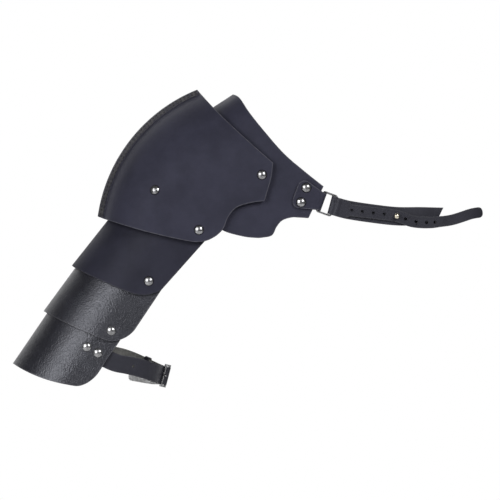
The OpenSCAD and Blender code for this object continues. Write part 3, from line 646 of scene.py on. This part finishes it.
cap_low_edge = [
    ridge_point(seam_radius(ridge_low), ridge_low),
    (-54.1, -5.8),
    (-33.6, -11.6),
    (-9.8, -17.4),
    (11.8, -21.8),
    (22.5, -22.8),
    (33, -21),
    (42.5, -16),
]
cap_wave = [(42.5, -16), (50.2, -8), (55.3, 4.2), (64, 14), (78, 19), cap_corner]
cap_neck_edge = [
    ridge_point(seam_radius(ridge_top), ridge_top),
    (40.9, 120.6),
    (63, 99),
    (84.1, 79.7),
    cap_shoulder,
]
cap_right_edge = [cap_shoulder, (101.5, 46), cap_corner]


def cap_own(x, z):
    """How far the wet-formed dome itself stands out, where nothing below lifts it."""
    dx, dz = x - ridge_centre[0], z - ridge_centre[1]
    turn = math.degrees(math.atan2(dz, dx))
    turn += 360 if turn < 0 else 0
    s = seam_share(turn)
    q = clamp((seam_radius(turn) - math.hypot(dx, dz)) / between(cap_round_low, cap_round_top, s))
    swell = yoke_depth * between(cap_swell_low, cap_swell_top, s)
    return swell * (1 - (1 - q) ** 2) ** between(cap_power_low, cap_power_top, s)


def fall(past):
    """How much lower a surface counts once the cap is past its edge: gently at first, then steeply."""
    return 2.5 * past * past / (past + 6) if past > 0 else 0


def cap_out(x, z):
    a, b = xz_to_arm(x, z)
    below = (x - yoke_fold_point[0]) * math.sin(yoke_fold_slope)
    below -= (z - yoke_fold_point[1]) * math.cos(yoke_fold_slope)
    on_yoke = yoke_out(x, z) + seat_gap - fall(yoke_left - x) - past_edge_slope * max(0, -below)
    on_arm = plate_out(0, a, b) + lap_gap - fall(plate_top[0] - plate_reach - a)
    on_arm -= past_edge_slope * max(0, b - plate_side)
    covered = smooth_max(on_yoke, on_arm, blend_below)
    return plate_thickness + smooth_max(covered, cap_own(x, z), blend_own)


def cap_side(v):
    neck_share = 0.6
    if v < neck_share:
        return along_curve(cap_neck_edge, v / neck_share)
    return along_curve(cap_right_edge, (v - neck_share) / (1 - neck_share))


def cap_point(side):
    strip = 0.05
    crowding = 1.5

    def place(u, v):
        degrees = between(ridge_low, ridge_top, u)
        if v < strip:
            outer = ridge_point(ridge_radius, between(ridge_low_outer, ridge_top_outer, u))
            seam = ridge_point(seam_radius(degrees), degrees)
            share = v / strip
            return (
                between(outer[0], seam[0], share),
                -side * plate_thickness,
                between(outer[1], seam[1], share),
            )
        reach = ((v - strip) / (1 - strip)) ** crowding
        x, z = span_between(
            ridge_point(seam_radius(degrees), degrees),
            along_curve(cap_wave, u),
            along_curve(cap_low_edge, reach),
            cap_side(reach),
            (cap_low_edge[0], cap_neck_edge[0], cap_wave[0], cap_corner),
            u,
            reach,
        )
        y = plate_thickness if reach == 0 else cap_out(x, z)
        return x, -side * y, z

    return place


mean_seam_width = (seam_low_width + seam_top_width) / 2
ridge_arc = ((ridge_centre[0] / 1000, 0, ridge_centre[1] / 1000), ridge_radius, mean_seam_width)
cap_black = black_leather(
    "cap_black_leather", smooth_colour, smooth_edge_rub_and_highlight, 0.68, seed=8, shine=0.14, ridge=ridge_arc
)
for side, name in [(1, "cap_front_panel"), (-1, "cap_back_panel")]:
    leather_sheet(
        name + "_leather",
        160,
        160,
        cap_point(side),
        plate_thickness,
        (20, 0, 20),
        "cap_and_yoke",
        name,
        [cap_black, dyed_edge, inner_side],
    )


# Rivets and other metal: double-capped steel rivets, plated and polished. Those of the cap, the tabs and
# the arm strap are set tight, and the plates turn on the other six. The rings, the buckle and its prong
# are of a greyer wire, and the chest strap's stud and screw are of brass.
def plated_steel(name, colour, gloss):
    material, tone, shader = start_material(name)
    place = tone.node("ShaderNodeTexCoord", output="Object")
    smear = place.noise(260, 4, 0.6)
    scratch = place.noise(2600, 2)
    dull = tuple(c * 0.72 for c in colour)
    connect(smear.between(0.35, 0.7).blend((*colour, 1), (*dull, 1)), shader, "Base Color")
    connect(smear.between(0.3, 0.7, gloss, gloss + 0.14), shader, "Roughness")
    shader.inputs["Metallic"].default_value = 1
    connect((scratch * 0.00001).relief(0.4), shader, "Normal")
    return material


def finish_node(node, material):
    shown = bpy.data.objects[node]
    shown.data.materials.clear()
    shown.data.materials.append(material)
    for polygon in shown.data.polygons:
        polygon.material_index = 0


rivet_steel = plated_steel("polished_rivet_steel", (0.38, 0.38, 0.39), 0.2)
for node in rivet_nodes:
    finish_node(node, rivet_steel)

wire_steel = plated_steel("ring_wire_steel", (0.3, 0.3, 0.31), 0.22)
for node in ["front_ring", "back_ring", "buckle_frame", "buckle_prong"]:
    finish_node(node, wire_steel)

stud_brass = plated_steel("stud_brass", (0.78, 0.72, 0.58), 0.2)
for node in ["chest_stud", "stud_screw"]:
    finish_node(node, stud_brass)


# Tabs: short straps of the same smooth leather, each folded round a ring's near side, with both ends
# riveted to the tip of the yoke's wing, one outside it and one inside. Their free ends are cut round.
strap_thickness = 2.2
ring_turn = math.radians(20)
ring_seat = (154.7, 21.2)
ring_wire = 1.7
ring_length = 15.8
tab_middle = yoke_depth - plate_thickness / 2
tab_length = 28.7
tab_half = 15.5
tab_ring_half = 9.9
tab_corner = 8
tab_inner = plate_thickness / 2 + seat_gap


def ring_point(side, x, y, z):
    """Point from the middle of a ring's near bar: x away from the tab, y inward, z along the bar."""
    return (
        ring_seat[0] + x * math.cos(ring_turn) + z * math.sin(ring_turn),
        side * (y - tab_middle),
        ring_seat[1] - x * math.sin(ring_turn) + z * math.cos(ring_turn),
    )


def tab_half_width(x):
    free = x + tab_length
    if free < tab_corner:
        return tab_half - tab_corner + math.sqrt(max(0, tab_corner**2 - (tab_corner - free) ** 2))
    return between(tab_half, tab_ring_half, clamp((free - tab_corner) / (tab_length - tab_corner)))


def tab_point(side):
    outer = tab_inner + strap_thickness
    bend = math.pi * outer
    whole = 2 * tab_length + bend

    def place(u, v):
        run = v * whole
        if run < tab_length:
            x, y = run - tab_length, -outer
        elif run > tab_length + bend:
            x, y = tab_length + bend - run, outer
        else:
            turn = (run - tab_length) / outer - math.pi / 2
            x, y = outer * math.cos(turn), outer * math.sin(turn)
        half = tab_half_width(min(x, 0))
        return ring_point(side, x, y, (2 * u - 1) * half)

    return place


strap_black = black_leather(
    "strap_black_leather", (0.02, 0.0198, 0.027), (0.05, 0.05, 0.055), 0.52, pebble=0.25, seed=5, shine=0.3
)
worn_edge = cut_edge("worn_cut_edge", (0.06, 0.058, 0.056))
# One flesh side in two copies: a lit copy with painted light for the billet, and a shaded copy with painted
# shade for the back strap and the keeper
painted_light_flesh = flesh_side("painted_light_flesh_side", (0.8, 0.8, 0.81))
painted_shade_flesh = flesh_side("painted_shade_flesh_side", (0.13, 0.13, 0.124))
for side, name in [(1, "front_tab"), (-1, "back_tab")]:
    middle = ring_point(side, -12, 0, 0)
    leather_sheet(
        name + "_leather",
        60,
        150,
        tab_point(side),
        strap_thickness,
        middle,
        "cap_and_yoke",
        name,
        [smooth_black, dyed_edge, inner_side],
    )


# Chest strap: one strap folded round the far side of the front ring. The wide layer behind is cut off,
# and the layer in front narrows to a tongue with punched holes and a round tip, held by a brass ball stud.
chest_bend = ring_wire / 2 + 0.4 + strap_thickness
chest_behind = [
    ring_point(1, ring_length, chest_bend, 0),
    (184.6, -64.3, 11.8),
    (210.5, -66.1, 7.8),
    (236.9, -65.1, 4.9),
    (262.3, -59, 4.8),
    (281.8, -50.5, 4.3),
]
chest_front = [
    ring_point(1, ring_length, -chest_bend, 0),
    (184.6, -69.1, 11.9),
    (210.5, -70.9, 8.6),
    (236.9, -69.9, 5.2),
    (254, -67.5, -0.6),
    (272, -63, -1.9),
    (284, -58, -0.9),
    (293.7, -53, 0.35),
    (302.3, -48, 2.5),
    (318.5, -37.5, 7.7),
    (330.2, -29.5, 9.4),
]
chest_half_width = 10
tongue_half_width = 6.4
tongue_starts_x = 181
tongue_shoulder = 8
taper_starts_x = 265
taper_run = 25
taper_end = 0.9
tip_round = 0.95
behind_ends = 0.36
front_starts = 0.42
fold_bulge_low = 0.9
fold_bulge_top = 2.6
cut_slant = 0.5
cut_starts = 0.93
fine_tip = 0.9
crease_depth = 1.2
crease_share = 0.036
crease_width = 0.016
hole_pitch = 11.8
holes_each_way = 4
hole_radius = 1.8
stud_share = 0.3
curve_step = 0.01


def heading_along(points, share):
    ahead = Vector(along_curve(points, min(1, share + curve_step)))
    return (ahead - Vector(along_curve(points, max(0, share - curve_step)))).normalized()


def up_across(direction):
    return Vector((-direction.z, 0, direction.x)).normalized()


def ease(share):
    return share * share * (3 - 2 * share)


def chest_front_point(share, across):
    centre = Vector(along_curve(chest_front, share))
    narrow = clamp((centre.x - tongue_starts_x) / tongue_shoulder)
    half = between(chest_half_width, tongue_half_width, ease(narrow))
    taper = clamp((centre.x - taper_starts_x) / taper_run)
    half *= between(1, taper_end, ease(taper))
    if share > tip_round:
        half *= math.sqrt(max(0.0004, 1 - ((share - tip_round) / (1 - tip_round)) ** 2))
    return centre + up_across(heading_along(chest_front, share)) * half * across


def chest_behind_point(share, across):
    centre = Vector(along_curve(chest_behind, share))
    up = up_across(heading_along(chest_behind, share))
    slant = Vector((cut_slant, 0, 0)) * clamp((share - cut_starts) / (1 - cut_starts))
    return centre + (up + slant) * chest_half_width * across


def chest_point(u, v):
    across = 2 * u - 1
    if v < behind_ends:
        return chest_behind_point(1 - v / behind_ends, across)
    if v < front_starts:
        turn = math.pi / 2 + math.pi * (v - behind_ends) / (front_starts - behind_ends)
        return ring_point(
            1,
            ring_length + (chest_bend + between(fold_bulge_low, fold_bulge_top, u)) * math.cos(turn),
            chest_bend * math.sin(turn),
            across * chest_half_width,
        )
    share = (v - front_starts) / (1 - front_starts)
    if share > fine_tip:
        share = fine_tip + (1 - fine_tip) * math.sin((share - fine_tip) / (1 - fine_tip) * math.pi / 2)
    crease = crease_depth * math.exp(-(((share - crease_share) / crease_width) ** 2))
    return chest_front_point(share, across) - Vector((0, crease, 0))


def hole_shares(way):
    """Where the tongue's holes lie along its line, counted from the stud to one side."""
    share = stud_share
    shares = []
    for _ in range(holes_each_way):
        ahead = Vector(along_curve(chest_front, share + curve_step))
        step = ahead - Vector(along_curve(chest_front, share - curve_step))
        share += way * hole_pitch * 2 * curve_step / step.length
        shares.append(share)
    return shares


chest_holes = []
for share in hole_shares(-1) + hole_shares(1):
    along = heading_along(chest_front, share)
    chest_holes.append((along_curve(chest_front, share), along.cross(up_across(along)), hole_radius))
leather_sheet(
    "chest_strap_leather",
    44,
    760,
    chest_point,
    strap_thickness,
    ring_point(1, ring_length, 0, 0),
    "chest_strap",
    "chest_strap",
    [strap_black, worn_edge, strap_black],
    chest_holes,
)


# Arm strap: two straps riveted inside the lowest arm plate, front and back. The back one folds round the
# buckle's centre bar; the front one runs over that fold, and its free end hangs down outside the strap.
arm_strap_thickness = 1.8
arm_strap_half = 9.9
billet_hole_radius = 1.5
strap_a = pivots[2][0] + 28.4
lining_gap = seat_gap + 0.15
loop_start = -22
loop_reach = 58.8
front_line = [
    (14, 1.8, 31),
    (3, 0.9, 31),
    (-8.4, -0.2, 30),
    (-20, -0.5, 28.5),
    (-32, -2.9, 25),
    (-44, -8, 20),
    (-56, -12.5, 17),
    (-66, -15.2, 16),
    (-74, -17.1, 15),
]
back_line = [
    (14, 1.8, 31),
    (3, 0.9, 31),
    (-8.4, -0.2, 30),
    (-20, -5.2, 27),
    (-32, -9.6, 23),
    (-44, -12.7, 21),
    (-56, -14.8, 19),
    (-66, -16.4, 16.5),
    (-74, -17.8, 15),
]
billet_tail = [(-74, -16.6, 13, 3.6), (-66, -12.4, 10, 6), (-55.5, -7.4, 8, 7), (-44.9, -2.1, 6, 6.8)]


def loop_station(station, side, out):
    """Middle and cross direction of the arm strap at a station: its b, how far down, its slope."""
    b, down, slope = station[:3]
    share = clamp((loop_start - b) / loop_reach)
    rise = math.sqrt(1 - share * share)
    y = (plate_out(2, strap_a, max(b, loop_start)) - plate_thickness - lining_gap + out) * rise
    x, z = arm_to_xz(strap_a + down, b - out * share)
    return x, side * y, z, math.sin(math.radians(slope)), 0, math.cos(math.radians(slope))


buckle_slope = math.radians(14.5)
buckle_turn = math.radians(12)
buckle_rise = 19.3
buckle_x, buckle_z = arm_to_xz(strap_a - buckle_rise, loop_start - loop_reach)
buckle_centre = Vector((buckle_x, 0, buckle_z))
buckle_across = Vector((math.sin(buckle_slope), 0, math.cos(buckle_slope)))
buckle_outward = Vector((math.cos(buckle_slope), 0, -math.sin(buckle_slope)))
buckle_t = Vector((0, math.cos(buckle_turn), 0)) + buckle_outward * math.sin(buckle_turn)
buckle_u = buckle_outward * math.cos(buckle_turn) - Vector((0, math.sin(buckle_turn), 0))
outer_bar = 2
centre_bar = 2
buckle_bar = 2.2
buckle_half_length = 9
lift_share = 0.55
fold_play = 0.35
billet_play = 0.3
fold_end = 5
fold_end_drop = 1.3
fold_radius = centre_bar / 2 + fold_play + arm_strap_thickness
billet_over = fold_radius + seat_gap + arm_strap_thickness + billet_play
bar_t = buckle_half_length + buckle_bar / 2
under_bar = outer_bar - buckle_bar / 2 - seat_gap
layer_gap = seat_gap + 0.25
layer = arm_strap_thickness + layer_gap
fold_back = under_bar - 2 * layer - arm_strap_thickness - 0.5


def buckle_station(t, u):
    """The same in the buckle: t along the strap from the centre bar, u outward."""
    return (*(buckle_centre + buckle_t * t + buckle_u * u), *buckle_across)


billet_path = [loop_station(s, -1, 0) for s in front_line]
billet_path += [
    buckle_station(-bar_t, under_bar),
    buckle_station(-bar_t / 2, between(under_bar, billet_over, lift_share)),
    buckle_station(0, billet_over),
    buckle_station(bar_t / 2, between(under_bar, billet_over, lift_share)),
    buckle_station(bar_t, under_bar),
]
billet_path += [loop_station(s, 1, s[3]) for s in billet_tail]
buckle_path = [loop_station(s, 1, 0) for s in back_line]
buckle_path += [
    buckle_station(bar_t, under_bar - layer),
    buckle_station(bar_t / 2, between(under_bar - layer, fold_radius, 0.5)),
]
buckle_path += [
    buckle_station(fold_radius * math.cos(math.radians(turn)), fold_radius * math.sin(math.radians(turn)))
    for turn in range(90, 271, 30)
]
buckle_path += [
    buckle_station(bar_t / 2, between(under_bar, fold_radius, 0.5) - 2 * layer - 1.5),
    buckle_station(bar_t, fold_back),
    buckle_station(bar_t + fold_end, fold_back - fold_end_drop),
]


def ribbon_point(path, start_round, end_round):
    """A strap along path, whose rounded ends have their rows of points close together."""
    fine = 0.06
    round_share = 0.035

    def place(u, v):
        share = v
        if v < fine and start_round:
            share = fine * (1 - math.cos(v / fine * math.pi / 2))
        if v > 1 - fine and end_round:
            share = 1 - fine * (1 - math.cos((1 - v) / fine * math.pi / 2))
        end = 0
        if share < round_share and start_round:
            end = (round_share - share) / round_share
        if share > 1 - round_share and end_round:
            end = (share - 1 + round_share) / round_share
        station = along_curve(path, share)
        half = arm_strap_half * max(0.002, 1 - end**4) ** 0.25
        return Vector(station[:3]) + Vector(station[3:]) * half * (2 * u - 1)

    return place


def billet_hole(station):
    """Hole of the billet at a station of its path, which counts from 0 and may lie between two."""
    share = station / (len(billet_path) - 1)
    here = along_curve(billet_path, share)
    ahead = Vector(along_curve(billet_path, share + curve_step)[:3])
    ahead -= Vector(along_curve(billet_path, share - curve_step)[:3])
    return here[:3], ahead.cross(Vector(here[3:])), billet_hole_radius


# A point inside the loop of the arm strap, which tells the two sides of its leather apart
loop_x, loop_z = arm_to_xz(strap_a - 10, -30)
leather_sheet(
    "arm_strap_billet_leather",
    40,
    420,
    ribbon_point(billet_path, True, True),
    arm_strap_thickness,
    (loop_x, 0, loop_z),
    "plate_3",
    "arm_strap_billet",
    [strap_black, dyed_edge, painted_light_flesh],
    [billet_hole(5.35), billet_hole(2.6)],
)
leather_sheet(
    "arm_strap_buckle_side_leather",
    40,
    480,
    ribbon_point(buckle_path, True, False),
    arm_strap_thickness,
    (loop_x, 0, loop_z),
    "plate_3",
    "arm_strap_buckle_side",
    [strap_black, dyed_edge, painted_shade_flesh],
)


# Keeper: a narrow band of thin leather, sewn into a loop round the back half of the arm strap near the
# buckle, along which it slides. The billet's end isn't pushed through it.
keeper_wall = 1.2
keeper_width = 6.5
keeper_play = 0.5
keeper_share = 6.3 / 8
keeper_path = [loop_station(s, 1, 0) for s in back_line]
keeper_here = along_curve(keeper_path, keeper_share)
keeper_ahead = along_curve(keeper_path, keeper_share + curve_step)
keeper_across = Vector(keeper_here[3:]).normalized()
keeper_along = (Vector(keeper_ahead[:3]) - Vector(keeper_here[:3])).normalized()
keeper_out = keeper_across.cross(keeper_along).normalized()
keeper_side = keeper_along.cross(keeper_out)
keeper_centre = Vector(keeper_here[:3]) - keeper_out * arm_strap_thickness / 2
keeper_half_out = arm_strap_thickness / 2 + keeper_play + keeper_wall
keeper_half_side = arm_strap_half + keeper_play + keeper_wall


def keeper_point(u, v):
    """The band's outer face: v runs once round the strap, over two flats, two sides and four corners."""
    corner = 1.7
    flat = 2 * (keeper_half_side - corner)
    rise = 2 * (keeper_half_out - corner)
    bend = math.pi / 2 * corner
    half_turn = flat + rise + 2 * bend
    run = v * 2 * half_turn
    back = run >= half_turn
    run -= half_turn * back
    if run < flat:
        side, out = run - flat / 2, keeper_half_out
    elif run < flat + bend:
        turn = (run - flat) / corner
        side, out = flat / 2 + corner * math.sin(turn), rise / 2 + corner * math.cos(turn)
    elif run < flat + bend + rise:
        side, out = keeper_half_side, rise / 2 - (run - flat - bend)
    else:
        turn = (run - flat - bend - rise) / corner
        side, out = flat / 2 + corner * math.cos(turn), -rise / 2 - corner * math.sin(turn)
    way = -1 if back else 1
    round_strap = keeper_centre + (keeper_out * out + keeper_side * side) * way
    return round_strap + keeper_along * keeper_width * (u - 0.5)


leather_sheet(
    "strap_keeper_leather",
    12,
    120,
    keeper_point,
    keeper_wall,
    keeper_centre,
    "keeper",
    "strap_keeper",
    [strap_black, dyed_edge, painted_shade_flesh],
)


# Stitching: two rows of waxed black thread through the ridge, and two short rows that close the fold
# round the buckle. Each stitch is drawn on its own, sunk a little into the leather.
thread_material, thread_tone, thread_shader = start_material("waxed_black_thread")
thread_place = thread_tone.node("ShaderNodeTexCoord", output="Object")
twist = thread_place.noise(1800, 2).between(0.3, 0.7)
connect(twist.blend((0.006, 0.006, 0.008, 1), (0.02, 0.02, 0.022, 1)), thread_shader, "Base Color")
thread_shader.inputs["Roughness"].default_value = 0.55


def stitch_row(bm, places, up, length, width):
    """Sews one stitch at each place: an oval bead of thread that lies along the row."""
    bead_radius = 0.001
    for centre, along in places:
        along = Vector(along).normalized()
        out = Vector(up(centre)).normalized()
        side = along.cross(out).normalized()
        turned = Matrix((along * length / 2, side * width / 2, out * width / 3)).transposed().to_4x4()
        made = bmesh.ops.create_uvsphere(bm, u_segments=8, v_segments=5, radius=bead_radius)
        bmesh.ops.transform(bm, matrix=turned, verts=made["verts"])
        bmesh.ops.translate(bm, vec=Vector(centre) / 1000, verts=made["verts"])


def thread_piece(name, bm, body):
    for face in bm.faces:
        face.smooth = True
    mesh = bpy.data.meshes.new(name)
    bm.to_mesh(mesh)
    bm.free()
    mesh.materials.append(thread_material)
    piece = bpy.data.objects.new(name, mesh)
    bpy.context.collection.objects.link(piece)
    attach(piece, body)


stitches_per_row = 40
row_end_degrees = 0.8
row_insets = (0.3, 0.72)
stitch_lift = 0.05
ridge_stitch = (2.8, 1.2)
bm = bmesh.new()
for side in (1, -1):
    for inset in row_insets:
        places = []
        for i in range(stitches_per_row):
            share = (i + 0.5) / stitches_per_row
            degrees = between(ridge_low - row_end_degrees, ridge_top + row_end_degrees, share)
            radius = ridge_radius - seam_width(degrees) * inset
            x, z = ridge_point(radius, degrees)
            turn = math.radians(degrees)
            centre = (x, -side * (plate_thickness + stitch_lift), z)
            places.append((centre, (-math.sin(turn), 0, math.cos(turn))))
        stitch_row(bm, places, lambda centre: (0, centre[1], 0), *ridge_stitch)
thread_piece("ridge_stitches", bm, "cap_and_yoke")

fold_rows = (1.6, 3.6)
fold_slope = fold_end_drop / fold_end
fold_pitch = 2.9
fold_stitch = (2.2, 0.9)
bm = bmesh.new()
for step in fold_rows:
    depth = fold_back - fold_slope * step - 2 * stitch_lift
    middle = buckle_centre + buckle_t * (bar_t + step) + buckle_u * depth
    places = [(middle + buckle_across * fold_pitch * i, buckle_across) for i in range(-3, 4)]
    stitch_row(bm, places, lambda centre: -buckle_u, *fold_stitch)
thread_piece("buckle_fold_stitches", bm, "plate_3")
